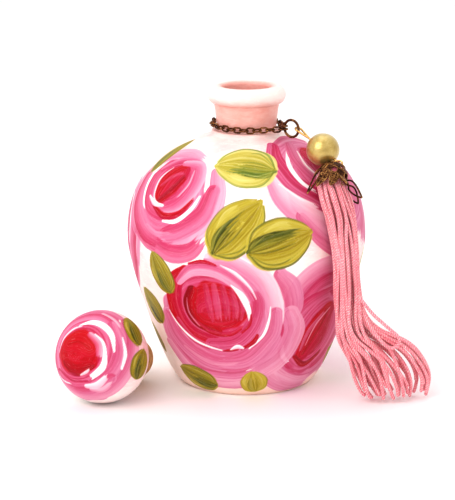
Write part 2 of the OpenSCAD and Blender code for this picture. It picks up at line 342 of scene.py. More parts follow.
def aged_brass(name, bright):
    """Antiqued brass: dark patina with the metal rubbed bright in places. bright is from 0 to 1."""
    n = Nodes(name)
    cloud = n.noise(n.place(), 0.45, 5, 0.65, 0.5)
    grit = n.noise(n.place(), 2.6, 4, 0.7)
    rubbed = n.add("NewGeometry").outputs["Pointiness"]
    amount = n.math("ADD", n.math("MULTIPLY", n.math("SUBTRACT", rubbed, 0.5), 2.2),
                    n.math("ADD", n.math("MULTIPLY", cloud, 0.8), n.math("MULTIPLY", grit, 0.35)))
    colour = n.ramp(amount, [(0.62 - 0.25 * bright, linear(52, 30, 20)), (0.76 - 0.25 * bright, linear(112, 68, 40)),
                             (0.98 - 0.25 * bright, linear(204, 158, 100))])
    rough = n.math("MULTIPLY_ADD", grit, 0.3, 0.26)
    bump = n.bump(grit, 0.5, 0.05)
    return n.finish(Base_Color=colour, Metallic=0.92, Roughness=rough, Normal=bump)


def gold_wire(name):
    n = Nodes(name)
    cloud = n.noise(n.place(), 0.5, 3, 0.6)
    drawn = n.noise(n.place(stretch=(1, 1, 0.1)), 5.0, 3, 0.6)
    colour = n.ramp(cloud, [(0.3, linear(196, 150, 88)), (0.6, linear(232, 196, 128)), (0.8, linear(248, 222, 166))])
    rough = n.math("MULTIPLY_ADD", drawn, 0.18, 0.16)
    return n.finish(Base_Color=colour, Metallic=1.0, Roughness=rough, Normal=n.bump(drawn, 0.3, 0.02))


def pearl_coat(name):
    """Champagne-gold pearl lacquer with a faint cloudy depth and fine specks."""
    n = Nodes(name)
    cloud = n.noise(n.place(), 0.16, 4, 0.6, 0.6)
    specks = n.noise(n.place(), 3.2, 2, 0.5)
    colour = n.ramp(cloud, [(0.3, linear(178, 148, 70)), (0.52, linear(204, 178, 102)),
                            (0.78, linear(232, 212, 150))])
    colour = n.mix(n.ramp(specks, [(0.6, 0.0), (0.75, 0.14)]), colour, linear(255, 244, 212))
    rough = n.math("MULTIPLY_ADD", cloud, 0.1, 0.26)
    return n.finish(Base_Color=colour, Metallic=0.65, Roughness=rough, Normal=n.bump(specks, 0.12, 0.01),
                    Coat_Weight=1.0, Coat_Roughness=0.06, Specular_IOR_Level=0.6)


def floss(name):
    """Twisted cotton floss: salmon painted shade in the grooves and a pale painted highlight on the crowns, with
    fine stray fibres.
    """
    n = Nodes(name)
    thread = n.add("Attribute", attribute_name="thread").outputs["Vector"]
    parts = n.add("SeparateXYZ", {"Vector": thread})
    crown_highlight, along = parts.outputs[0], parts.outputs[1]
    fibre = n.noise(n.add("Mapping", {"Vector": thread, "Scale": (0.8, 1.0, 3.0)}).outputs[0], 1.5, 4, 0.75)
    shade = n.noise(n.place(), 0.07, 3, 0.6)
    # The crowns of the plies are painted paler and the grooves more salmon, as painted highlight and painted shade,
    # mixed with the fibres' own tone.
    fibres_and_crown_highlight = n.math("ADD", n.math("MULTIPLY", crown_highlight, 0.2), n.math("MULTIPLY", fibre, 0.85))
    colour = n.ramp(fibres_and_crown_highlight, [(0.36, linear(222, 100, 122)), (0.48, linear(236, 138, 152)),
                          (0.58, linear(248, 176, 182)), (0.68, linear(255, 238, 234))])
    colour = n.mix(n.ramp(shade, [(0.3, 0.35), (0.6, 0.0)]), colour, linear(236, 120, 134), "MIX")
    bump = n.bump(n.math("ADD", fibre, n.math("MULTIPLY", n.noise(n.place(), 6.0, 2), 0.4)), 0.6, 0.12)
    return n.finish(Base_Color=colour, Roughness=0.62, Normal=bump, Sheen_Weight=0.35, Sheen_Roughness=0.4,
                    Specular_IOR_Level=0.35)


def cork_grain(name):
    n = Nodes(name)
    patches = n.noise(n.place(), 0.35, 5, 0.65, 0.8)
    grains = n.add("TexVoronoi", {"Vector": n.place(), "Scale": 1.1, "Randomness": 1.0}).outputs["Distance"]
    specks = n.noise(n.place(), 2.4, 3, 0.6)
    colour = n.ramp(patches, [(0.3, linear(186, 132, 84)), (0.5, linear(212, 164, 112)),
                              (0.75, linear(230, 190, 142))])
    colour = n.mix(n.ramp(grains, [(0.02, 0.5), (0.2, 0.0)]), colour, linear(128, 82, 52))
    colour = n.mix(n.ramp(specks, [(0.66, 0.0), (0.72, 0.7)]), colour, linear(96, 58, 38))
    bump = n.bump(n.math("SUBTRACT", grains, specks), 0.7, 0.2)
    return n.finish(Base_Color=colour, Roughness=0.82, Normal=bump, Specular_IOR_Level=0.25)


# ---------------------------------------------------------------- camera

camera = bpy.data.objects.new("camera", bpy.data.cameras.new("camera"))
bpy.context.collection.objects.link(camera)
camera.data.lens, camera.data.sensor_width = 140.2, 36
camera.data.clip_start = 0.01
CAMERA_AT, CAMERA_DOWN = (-7.9, -794.7, 255.1), 14.14
camera.location = Vector(CAMERA_AT) * MM
camera.rotation_euler = (np.radians(90 - CAMERA_DOWN), 0, 0)
bpy.context.scene.camera = camera


# ---------------------------------------------------------------- tassel strands

# Stations of the tassel, as in part.scad: [middle, half width vector, half depth vector].
STATIONS = np.array([
    [[34.43, -31.73, 94.21], [3.86, 1.48, -2.09], [1.95, -3.21, 1.43]],
    [[33.26, -33.96, 91.31], [4.5, 1.41, -2.13], [2.28, -3.83, 1.4]],
    [[35.36, -37.52, 85.08], [5.49, 4.89, -1.55], [2.44, -3.31, 2.34]],
    [[37.27, -37.84, 77.67], [4.54, 4.65, -0.82], [3.3, -2.62, 0.57]],
    [[38.4, -39.2, 71.0], [4.2, 4.0, 0], [3.0, -3.0, 0.4]],
    [[39.5, -39.4, 61.0], [3.8, 3.7, 0], [3.0, -3.0, 0]],
    [[40.4, -39.0, 47.0], [4.0, 3.2, 0], [2.8, -3.2, 0]],
    [[42.0, -38.4, 36.0], [5.4, 2.4, 1.4], [2.2, -3.6, 0]],
    [[45.7, -37.4, 28.5], [7.8, 1.5, 3.0], [1.4, -3.9, 0.3]],
    [[53.0, -36.4, 21.5], [11.4, 1.0, 4.6], [0.6, -4.1, 0.5]],
    [[57.6, -35.4, 14.5], [13.2, 1.2, 4.8], [0, -4.2, 0.6]],
    [[61.0, -34.6, 7.0], [14.0, 2.0, 3.0], [0, -4.2, 0]],
    [[62.3, -34.0, 0.8], [11.6, 3.0, 0], [0, -4.2, 0]]])
STRAND_D = 1.4
STRAND_COUNT = 17
INNER_COUNT = 21
CORE_SPREAD, UNDER_SPREAD = 0.45, 0.87      # of the inner strands, as shares of the bundle's half width
STRAND_STEP = 0.3        # between the points of a strand
PLY_PITCH = 3.3          # one turn of the floss's three plies
floss_material = floss("floss")
rng = np.random.default_rng(41)


def strand_path(turn, spread, cut=0.0, wave=0.0, phase=0.0):
    """A strand's middle line at this angle round the bundle. spread is 1 on its outside and 0 in its middle."""
    share = np.linspace(0, 1, len(STATIONS))
    turn = (turn + 0.3 * smooth(share / 0.3) * np.sin(7.0 * share + 2 * phase))[:, None]
    points = (STATIONS[:, 0] + spread * np.cos(turn) * STATIONS[:, 1] + spread * np.sin(turn) * STATIONS[:, 2])
    path = evenly(through(points, 12), STRAND_STEP)
    t = np.linspace(0, 1, len(path))
    sway = wave * smooth((t - 0.06) / 0.5)
    path[:, 0] += sway * np.sin(19 * t + phase)
    path[:, 1] += 0.6 * sway * np.sin(26 * t + 2 * phase)
    path[:, 2] += 0.5 * sway * np.sin(33 * t + 3 * phase) * (path[:, 2] > 6)
    keep = len(path) - int(cut / STRAND_STEP)
    return path[:keep]


def add_strand(name, path, replaced=None):
    sides, plies = 12, 3
    verts, faces, s = tube(path, STRAND_D / 2, sides, lobes=plies, lobe_depth=0.06, pitch=PLY_PITCH)
    piece = make_piece(name, verts, faces, "tassel", floss_material)
    a = np.linspace(0, 2 * np.pi, sides, endpoint=False)
    # lobe is 1 on the crowns of the plies and 0 in the grooves; the floss material uses it to paint a highlight on
    # the crowns and shade in the grooves.
    lobe = 0.5 + 0.5 * np.cos(plies * (a[None] - 2 * np.pi * s[:, None] / PLY_PITCH))
    along = np.broadcast_to(s[:, None] + 7.3 * len(bpy.data.objects), lobe.shape)
    around = np.broadcast_to(a[None] / plies, lobe.shape)
    set_attribute(piece, "thread", "FLOAT_VECTOR", np.stack([lobe, along, around], -1))
    if replaced:
        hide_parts(replaced)
    return piece


for i in range(STRAND_COUNT):
    add_strand("strand_%02d" % (i + 1),
               strand_path(2 * np.pi * i / STRAND_COUNT, 1.0, rng.uniform(0, 3), 0.28, rng.uniform(0, 6.3)),
               "tassel_strand_%02d" % (i + 1))
for i in range(INNER_COUNT):
    add_strand("strand_inner_%02d" % (i + 1),
               strand_path(2 * np.pi * (i + 0.4) / INNER_COUNT, UNDER_SPREAD if i % 3 else CORE_SPREAD,
                           rng.uniform(0, 7), 0.36, rng.uniform(0, 6.3)))
# One strand stands out in a loop and turns back into the bundle.
add_strand("strand_loop", evenly(through([
    (42.6, -38.6, 50), (44.6, -40.2, 46.4), (47.4, -41.2, 42.6), (51.0, -41.6, 38.3), (54.8, -41.8, 34.9),
    (57.8, -41.9, 32.2), (60.4, -41.9, 29.9), (61.4, -42.0, 27.9), (60.6, -42.1, 25.7), (58.6, -42.2, 24.7),
    (56.4, -42.2, 25.5), (53.9, -42.1, 27.8), (51.2, -42.0, 31.2), (48.8, -41.6, 35.0), (46.8, -40.8, 39.0)], 12),
    STRAND_STEP))


# ---------------------------------------------------------------- brush painting

# Pigments, from 0 to 255.
DEEP, RED, CRIMSON, MAGENTA = (150, 2, 26), (194, 6, 34), (196, 30, 74), (204, 62, 108)
ROSE, PINK, BLUSH, PALE, WHITE = (214, 102, 142), (222, 136, 170), (234, 168, 192), (246, 208, 218), (255, 250, 250)
MOSS, FERN, OLIVE = (74, 84, 20), (98, 122, 34), (148, 136, 30)
GOLD, STRAW, CREAM = (176, 156, 40), (204, 188, 74), (226, 216, 132)
BASE_WHITE = (253, 238, 236)
# The pale, middle and deep tones of a leaf.
DARK_LEAF, WARM_LEAF = (GOLD, OLIVE, MOSS), (STRAW, GOLD, MOSS)
GREEN_LEAF, YOUNG_LEAF = (STRAW, (150, 158, 50), FERN), (CREAM, (184, 170, 52), FERN)
CELL = 0.34
GONE = -1


def streak(colour, lift):
    """Paler where lift is positive, and a deeper shade of the same colour where it is negative."""
    return np.where(lift > 0, colour + lift * (255 - colour), colour * (1 + 2.2 * lift * (1 - colour / 255)))


class Canvas:
    """A grid of points on a painted surface, and what each has been painted with."""

    def __init__(self, points, normals, wraps, seed):
        self.points, self.normals, self.wraps = points, normals, wraps
        shape = points.shape[:2]
        self.colour = np.full(shape + (3,), 1.0) * np.array(BASE_WHITE)
        self.cover = np.zeros(shape)
        self.depth = np.zeros(shape)
        self.brush = np.zeros(shape + (3,))
        self.owner = np.full(shape, GONE)
        self.names = []
        self.random = np.random.default_rng(seed)

    def chart(self, direction, height):
        """Sideways and upward distances over the surface from the point that faces this way at this height."""
        n = self.normals
        score = (unit(self.points[..., :2]) * unit(direction[:2])).sum(-1)
        score = score - 0.05 * np.abs(self.points[..., 2] - height)
        at = np.unravel_index(score.argmax(), score.shape)
        n0, p0 = n[at], self.points[at]
        right = unit(np.cross(UP, n0))
        up = np.cross(n0, right)
        d = self.points - p0
        x, y = d @ right, d @ up
        half = 0.5 * np.arccos(np.clip((n @ n0), -1, 1))
        reach = np.linalg.norm(d, axis=-1) * np.where(half > 1e-3, half / np.maximum(np.sin(half), 1e-3), 1)
        grow = reach / np.maximum(np.hypot(x, y), 1e-6)
        behind = (n @ n0) < -0.6
        return np.where(behind, 1e3, x * grow), np.where(behind, 1e3, y * grow)

    def begin(self, name):
        """Names what the next strokes belong to."""
        if name not in self.names:
            self.names.append(name)
        self.now = self.names.index(name)

    def stroke(self, chart, points, left, right, load=1.0, dry=0.75, grain=0.16):
        """One loaded brush stroke through points of (x, y, width). left and right are the colours on its two edges.
        load is how much it hides, and the brush runs dry after the share dry of its way."""
        x, y = chart
        line = through(points, 8)
        widest = line[:, 2].max()
        low, high = line[:, :2].min(0) - widest / 2 - 0.5, line[:, :2].max(0) + widest / 2 + 0.5
        near = (x > low[0]) & (x < high[0]) & (y > low[1]) & (y < high[1])
        if not near.any():
            return
        q = np.stack([x[near], y[near]], -1)
        s = np.concatenate([[0], np.cumsum(np.linalg.norm(np.diff(line[:, :2], axis=0), axis=1))])
        best = np.full(len(q), 1e9)
        side, along, wide = np.zeros(len(q)), np.zeros(len(q)), np.ones(len(q))
        for k in range(len(line) - 1):
            a, ab = line[k, :2], line[k + 1, :2] - line[k, :2]
            t = np.clip((q - a) @ ab / max(ab @ ab, 1e-9), 0, 1)
            off = q - a - t[:, None] * ab
            w = line[k, 2] + t * (line[k + 1, 2] - line[k, 2])
            dist = np.hypot(off[:, 0], off[:, 1])
            better = dist < best
            best[better] = dist[better]
            turn = np.sign(ab[0] * off[:, 1] - ab[1] * off[:, 0])
            side[better] = (-turn * dist / (w / 2))[better]
            along[better] = (s[k] + t * (s[k + 1] - s[k]))[better]
            wide[better] = w[better]
        hairs = self.random.normal(0, 1, int(max(6, widest / 0.45)))
        hairs = np.clip(hairs, -1.6, 1.6) / 1.6
        drift = 0.05 * np.sin(along * 0.35 + self.random.uniform(0, 6.3))
        seat = (np.clip(side + drift, -1, 1) + 1) / 2 * (len(hairs) - 1)
        hair = np.interp(seat, np.arange(len(hairs)), hairs)
        alpha = smooth((wide / 2 - best) / 0.4 + 0.25)
        gone = np.clip((along / s[-1] - dry) / max(1 - dry, 0.02), 0, 1)
        alpha *= load * smooth((hair + 1.6 - 2.7 * gone) / 0.5)
        mix = smooth(0.5 + 0.62 * side + 0.16 * hair)[:, None]
        colour = np.array(left, float) * (1 - mix) + np.array(right, float) * mix
        lift = (grain * hair)[:, None]
        colour = streak(colour, lift)
        a = alpha[:, None]
        self.colour[near] = self.colour[near] * (1 - a) + colour * a
        self.cover[near] = self.cover[near] + (1 - self.cover[near]) * alpha
        ridge = 0.05 + 0.06 * np.abs(side) ** 3 + 0.04 * np.clip(hair, 0, 1)
        self.depth[near] = np.clip(self.depth[near] * (1 - 0.6 * alpha) + alpha * ridge, 0, 0.22)
        taken = near.copy()
        taken[near] = alpha > 0.35
        self.owner[taken] = self.now
        self.brush[taken] = np.stack([side * wide / 2, along, np.full(len(q), 3.0 * len(hairs))], -1)[alpha > 0.35]

    def wash(self, chart, middle, radii, turn, inner, outer, ragged=0.05):
        """An oval of wet paint, inner colour in its middle and outer colour at its uneven edge."""
        x, y = chart[0] - middle[0], chart[1] - middle[1]
        c, s = np.cos(np.radians(turn)), np.sin(np.radians(turn))
        u, v = (x * c + y * s) / radii[0], (y * c - x * s) / radii[1]
        far = np.hypot(u, v)
        near = far < 1.25
        if not near.any():
            return
        far, angle = far[near], np.arctan2(v[near], u[near])
        p = self.random.uniform(0, 6.3, 6)
        waves = np.sin(3 * angle + p[0]) + 0.6 * np.sin(7 * angle + p[1]) + 0.4 * np.sin(13 * angle + p[2])
        edge = 1 + ragged * waves
        size = min(radii)
        hairs = self.random.normal(0, 0.6, int(size / 0.4) + 6)
        sweep = far * size / 0.4 + 1.5 * np.sin(2 * angle + p[3]) + 2
        hair = np.clip(np.interp(sweep, np.arange(len(hairs)), hairs), -1, 1)
        alpha = smooth((edge - far) * size / 1.1 + 0.3)[:, None]
        mix = smooth(far ** 1.5 + 0.25 * hair)[:, None]
        colour = np.array(inner, float) * (1 - mix) + np.array(outer, float) * mix
        lift = 0.13 * hair[:, None]
        colour = streak(colour, lift)
        self.colour[near] = self.colour[near] * (1 - alpha) + colour * alpha
        alpha = alpha[:, 0]
        self.cover[near] = self.cover[near] + (1 - self.cover[near]) * alpha
        self.depth[near] = self.depth[near] * (1 - alpha) + alpha * (0.07 + 0.02 * hair)
        taken = near.copy()
        taken[near] = alpha > 0.35
        self.owner[taken] = self.now
        self.brush[taken] = np.stack([far * size, angle * size, 7.0 + 0 * far], -1)[alpha > 0.35]

    def films(self, prefix, body, material):
        """A thin raised skin for each thing that was painted, sunk into the surface where the paint ends."""
        rows, columns = self.cover.shape
        quads = grid_faces(rows, columns, self.wraps)
        owner = self.owner.ravel()[quads].max(1)
        shown = self.cover.ravel()[quads].max(1) > 0.06
        for _ in range(2):
            for axis in (0, 1):
                self.depth = (2 * self.depth + np.roll(self.depth, 1, axis) + np.roll(self.depth, -1, axis)) / 4
        lift = self.depth * smooth(self.cover * 1.6) - 0.05 * (1 - smooth(self.cover * 2.2))
        points = (self.points + lift[..., None] * self.normals).reshape(-1, 3)
        paint = np.concatenate([linear(*self.colour.reshape(-1, 3).T).T, np.ones((rows * columns, 1))], 1)
        for k, name in enumerate(self.names):
            mine = quads[shown & ((owner == k) if k else (owner <= 0))]
            used, faces = np.unique(mine, return_inverse=True)
            piece = make_piece(prefix + name, points[used], faces.reshape(-1, 4), body, material)
            set_attribute(piece, "paint", "FLOAT_COLOR", paint[used])
            set_attribute(piece, "brush", "FLOAT_VECTOR", self.brush.reshape(-1, 3)[used])


# Each rose is a list of strokes: ([(x, y, width), ...], left colour, right colour, load, dry).
# x runs to the right and y up from the rose's middle.
FRONT_WASH = [((1, -7), (26, 25), 0, ROSE, PINK), ((-1, -1), (21, 19), 0, CRIMSON, ROSE),
              ((0.5, 0.5), (13, 11.5), 0, CRIMSON, RED)]
ROSE_FRONT = [
    ([(27, 14, 6), (31, 7, 9), (32, -4, 8), (27, -13, 4)], PINK, ROSE, 0.9, 0.8),
    ([(30, -6, 8), (31, -17, 10), (22, -29, 10), (8, -34, 9)], BLUSH, PINK, 0.9, 0.85),
    ([(-23, -8, 7), (-23, -19, 10), (-13, -30, 11), (3, -32, 10), (16, -29, 7)], ROSE, PINK, 1.0, 0.85),
    ([(-25, -25, 5), (-12, -36, 6), (6, -38, 6), (24, -33, 6)], BLUSH, PINK, 0.8, 0.7),
    ([(-1, 22, 6), (8, 21.5, 9), (18, 14, 10), (22.5, 2, 10), (21.5, -11, 9), (12, -23, 7)], PALE, PINK, 1.0, 0.9),
    ([(-3, 24.5, 1), (8, 24.5, 1.4), (19, 18, 1)], PALE, WHITE, 0.8, 0.7),
    ([(-24, -9, 5), (-20, -18, 8), (-8, -26, 9), (6, -28, 7)], ROSE, PINK, 1.0, 0.75),
    ([(24, -4, 6), (21, -15, 8), (10, -25, 8), (-4, -27, 5)], PINK, ROSE, 0.95, 0.8),
    ([(-16, -22, 2), (-4, -27, 3), (10, -26, 2)], ROSE, BLUSH, 0.6, 0.6),
    ([(-12, 15, 6), (-18, 8.4, 8), (-18.5, -4, 8), (-12.5, -13, 7.5), (0, -17.5, 7)], CRIMSON, RED, 1.0, 0.97),
    ([(-3, -17.5, 6), (8, -15.5, 7), (15, -7, 6), (17.5, 2, 5), (15, 9, 4)], MAGENTA, ROSE, 1.0, 0.92),
    ([(-18, -9, 2.5), (-11, -17, 3.5), (1, -20, 3)], ROSE, MAGENTA, 0.7, 0.7),
    ([(-15.5, 10, 3.5), (-9, 16.3, 5.5), (1, 16.5, 5.5), (9.5, 11, 5), (14.5, 2, 4)], ROSE, BLUSH, 1.0, 0.95),
    ([(-10.5, 18.8, 1), (-4.2, 20.4, 1.9), (2.5, 18.9, 0.8)], RED, CRIMSON, 1.0, 0.85),
    ([(3, 19.5, 0.6), (9, 16, 1.8), (14.5, 9.5, 1.2), (17, 3, 0.5)], WHITE, PALE, 0.95, 0.9),
    ([(-22.5, -6, 0.6), (-18, -12, 1.2), (-10, -17.5, 1.4), (1.8, -20.6, 0.7)], WHITE, WHITE, 1.0, 0.95),
    ([(12, -19.6, 0.8), (18, -14, 1.5), (21, -7, 1.3), (22.3, 0, 0.5)], WHITE, WHITE, 1.0, 0.95),
    ([(-9.5, 7, 5), (-11.5, 0, 6), (-8.5, -7.5, 5), (0, -11, 4)], RED, DEEP, 1.0, 1.0),
    ([(-4, -2, 9), (2, 0, 13), (8, -1, 9)], CRIMSON, RED, 0.7, 1.0),
    ([(-3.5, 10, 2.4), (-2.6, 0, 3), (-1.6, -9.5, 2)], ROSE, MAGENTA, 0.5, 0.6),
    ([(0, 10.5, 2.4), (0.8, 1, 3.2), (1, -9.5, 2)], PINK, ROSE, 0.55, 0.6),
    ([(3.5, 10, 2.4), (4.6, 0, 3), (3.8, -10, 2)], ROSE, MAGENTA, 0.55, 0.6),
    ([(7, 8.5, 2.2), (8.2, 0, 3), (6.5, -9, 2)], PINK, MAGENTA, 0.5, 0.6),
    ([(10, 5, 2), (10.6, -1, 2.4), (9, -7, 1.6)], ROSE, CRIMSON, 0.6, 0.7),
    ([(-10, -7, 1.6), (-3, -11.5, 2.6), (5, -12, 2.4), (11, -8, 1.6)], CRIMSON, RED, 0.85, 0.9),
    ([(-12.5, 3, 0.5), (-12, -4, 0.9), (-7, -10.5, 0.8)], PALE, PINK, 0.7, 0.85),
    ([(7, 11, 0.6), (11, 6, 2.9), (13.2, -0.5, 2.4), (13.2, -6.5, 0.6)], WHITE, WHITE, 1.0, 0.97),
    ([(14.2, -3, 0.8), (13, -8, 1.6), (9, -12, 1.2)], RED, CRIMSON, 0.9, 0.9),
    ([(9, -19.6, 1.2), (14, -16.5, 2.2), (16.5, -12, 1)], RED, CRIMSON, 1.0, 0.85),
    ([(1.5, -20.6, 0.8), (4, -20.2, 1.6), (8, -19.8, 0.8)], RED, CRIMSON, 1.0, 0.9),
    ([(4.5, -19.8, 0.8), (7.5, -18.3, 2.2), (10, -19.6, 1)], WHITE, PALE, 1.0, 0.95),
]
UPPER_LEFT_WASH = [((-5, -3), (20, 21), 0, ROSE, PINK), ((-5.5, 4), (14, 15), -10, MAGENTA, ROSE),
                   ((-5.8, 4.8), (7.2, 9.6), -20, RED, CRIMSON)]
ROSE_UPPER_LEFT = [
    ([(-22, 15, 6), (-28, 4, 9), (-26, -9, 10), (-16, -19, 8)], PALE, PINK, 0.85, 0.8),
    ([(13, 14, 5), (18, 4, 8), (17, -7, 10), (8, -17, 9), (-2, -21, 6)], BLUSH, PINK, 0.9, 0.8),
    ([(-9, -20, 6), (2, -24, 8), (13, -21, 7), (19, -12, 4)], MAGENTA, ROSE, 0.9, 0.65),
    ([(-21, -16, 5), (-12, -21, 6), (-4, -23, 4)], MAGENTA, ROSE, 0.85, 0.8),
    ([(-25, 8, 6), (-24, -5, 9), (-15, -16, 9), (-3, -20, 6)], PINK, MAGENTA, 0.95, 0.85),
    ([(16, 5, 6), (15, -6, 8), (6, -14, 8), (-5, -18, 5)], PINK, MAGENTA, 0.9, 0.85),
    ([(-25, 12, 5), (-17, 19, 7), (-6, 21, 7), (6, 17, 4)], BLUSH, PINK, 0.9, 0.75),
    ([(-20, 14, 0.8), (-21, 5, 2.2), (-19, -4, 1.6), (-16, -8, 0.6)], WHITE, WHITE, 1.0, 0.9),
    ([(-13, 14, 4), (-17, 5, 6), (-14, -5, 6), (-5, -9, 5), (4, -7, 4)], ROSE, MAGENTA, 1.0, 0.95),
    ([(-15, 11, 3), (-8, 16, 4), (0, 17, 4), (5, 15, 3)], PINK, MAGENTA, 0.95, 0.9),
    ([(-8, -1, 9), (-6, 5, 12), (-3, 10, 9)], RED, CRIMSON, 1.0, 1.0),
    ([(-10, 3, 1.5), (-5, 8, 2.5), (1, 10, 1.5)], ROSE, MAGENTA, 0.6, 0.6),
    ([(-8, -4, 3), (-2, 2, 4), (1, 9, 3)], DEEP, RED, 0.8, 0.9),
    ([(-9, 12, 0.6), (-13, 6, 1.3), (-12, -2, 1.2), (-8, -5, 0.6)], WHITE, PALE, 0.95, 0.9),
    ([(-4, 15, 3.5), (4, 15, 4.5), (8, 8, 5), (7, 0, 4.5), (2, -6, 3.5), (-6, -8, 2.5)], BLUSH, ROSE, 1.0, 0.9),
    ([(3, 12, 0.7), (4, 5, 1.2), (1, -2, 0.8)], PALE, PINK, 0.9, 0.8),
    ([(-10, -6, 2), (-3, -9.5, 3), (5, -7, 2.6), (10, 1, 1)], RED, CRIMSON, 1.0, 0.9),
    ([(-15, -2, 1.2), (-10, -5, 2.3), (-4, -5.5, 1.2)], WHITE, PALE, 1.0, 0.9),
    ([(-3, -11.5, 1.2), (4, -10.5, 2), (10, -4, 1.8), (12, 5, 0.8)], WHITE, WHITE, 1.0, 0.8),
    ([(-13, -14, 1.4), (-5, -17, 2), (5, -15, 1.4)], BLUSH, PINK, 0.6, 0.6),
]
UPPER_RIGHT_WASH = [((15, 3), (27, 26), 0, ROSE, PINK), ((14, 10), (15, 15), 0, MAGENTA, ROSE)]
ROSE_UPPER_RIGHT = [
    ([(28, 18, 8), (35, 4, 11), (38, -12, 11), (30, -24, 9)], PINK, ROSE, 0.9, 0.8),
    ([(40, -4, 4), (44, -12, 6), (45, -22, 5)], ROSE, PINK, 0.9, 0.7),
    ([(-14, 10, 5), (-13, -1, 9), (-5, -10, 11), (8, -17, 9)], PALE, PINK, 0.9, 0.85),
    ([(-7, -10, 6), (1, -19, 9), (12, -25, 9), (24, -24, 7)], BLUSH, ROSE, 0.85, 0.8),
    ([(1, 27, 5), (12, 31, 7), (24, 27, 7)], ROSE, PINK, 0.9, 0.8),
    ([(-2, 27, 5), (-7, 17, 8), (-6, 5, 9), (4, -5, 9), (15, -10, 7)], MAGENTA, ROSE, 1.0, 0.9),
    ([(-12, 5, 1), (-6, -3, 2.4), (4, -9, 2)], WHITE, PALE, 0.9, 0.7),
    ([(2, 22, 1), (-3, 13, 2.4), (-2, 4, 2.2), (4, -2, 1.2)], WHITE, WHITE, 1.0, 0.85),
    ([(7, 26, 5), (3, 16, 7), (6, 5, 7), (15, -2, 6), (24, 0, 5)], PINK, ROSE, 1.0, 0.9),
    ([(24, 24, 5), (28, 14, 7), (25, 3, 6)], ROSE, MAGENTA, 1.0, 0.9),
    ([(13, 18, 11), (17, 10, 13), (17, 5, 10)], RED, CRIMSON, 1.0, 1.0),
    ([(7, 21, 0.8), (5, 12, 1.6), (9, 4, 1)], WHITE, PALE, 0.95, 0.85),
]
LOWER_RIGHT_WASH = [((3, 2), (25, 27), 0, ROSE, PINK), ((1, 1), (15, 20), -15, MAGENTA, ROSE),
                    ((0, 1.5), (7.5, 13), -20, RED, CRIMSON)]
ROSE_LOWER_RIGHT = [
    ([(-17, 12, 6), (-14, 25, 9), (-5, 32, 9), (8, 31, 9), (18, 25, 8)], BLUSH, ROSE, 0.9, 0.85),
    ([(14, 28, 8), (24, 16, 10), (26, 0, 11), (20, -16, 10), (8, -23, 8)], PINK, ROSE, 0.9, 0.85),
    ([(-21, -4, 7), (-18, -16, 10), (-6, -24, 10), (8, -25, 8)], BLUSH, PINK, 0.9, 0.85),
    ([(-12, 17, 4), (-3, 25, 7), (9, 25, 7), (17, 18, 5)], MAGENTA, ROSE, 0.85, 0.8),
    ([(3, 21, 4), (-8, 17, 6), (-15, 6, 7), (-13, -7, 6), (-5, -16, 5)], ROSE, MAGENTA, 1.0, 0.9),
    ([(4, 19, 4), (14, 13, 6), (17, 0, 7), (10, -12, 6), (0, -17, 4)], MAGENTA, ROSE, 1.0, 0.9),
    ([(-4, -8, 8), (0, 2, 14), (4, 11, 9)], RED, CRIMSON, 1.0, 1.0),
    ([(-10, 10, 1), (-13, 2, 2), (-11, -8, 1.4)], BLUSH, PINK, 0.85, 0.7),
    ([(-6, -6, 1.4), (-4, 4, 2.4), (4, 13, 1.4)], PINK, ROSE, 0.75, 0.8),
    ([(-8, -9, 2), (-1, -14, 3), (8, -9, 2)], DEEP, RED, 0.95, 0.9),
    ([(-4, -4, 0.6), (-1, 6, 1), (7, 14, 0.6)], PALE, PINK, 0.9, 0.8),
    ([(-15, -3, 0.8), (-14, -8, 2.2), (-10, -12, 1.4)], WHITE, WHITE, 1.0, 0.9),
]
BALL_WASH = [((-2, -1), (24, 24), 0, ROSE, PINK), ((-3, 0), (15, 15), 0, CRIMSON, ROSE),
             ((-3.5, -0.5), (9.8, 9.6), 0, RED, RED)]
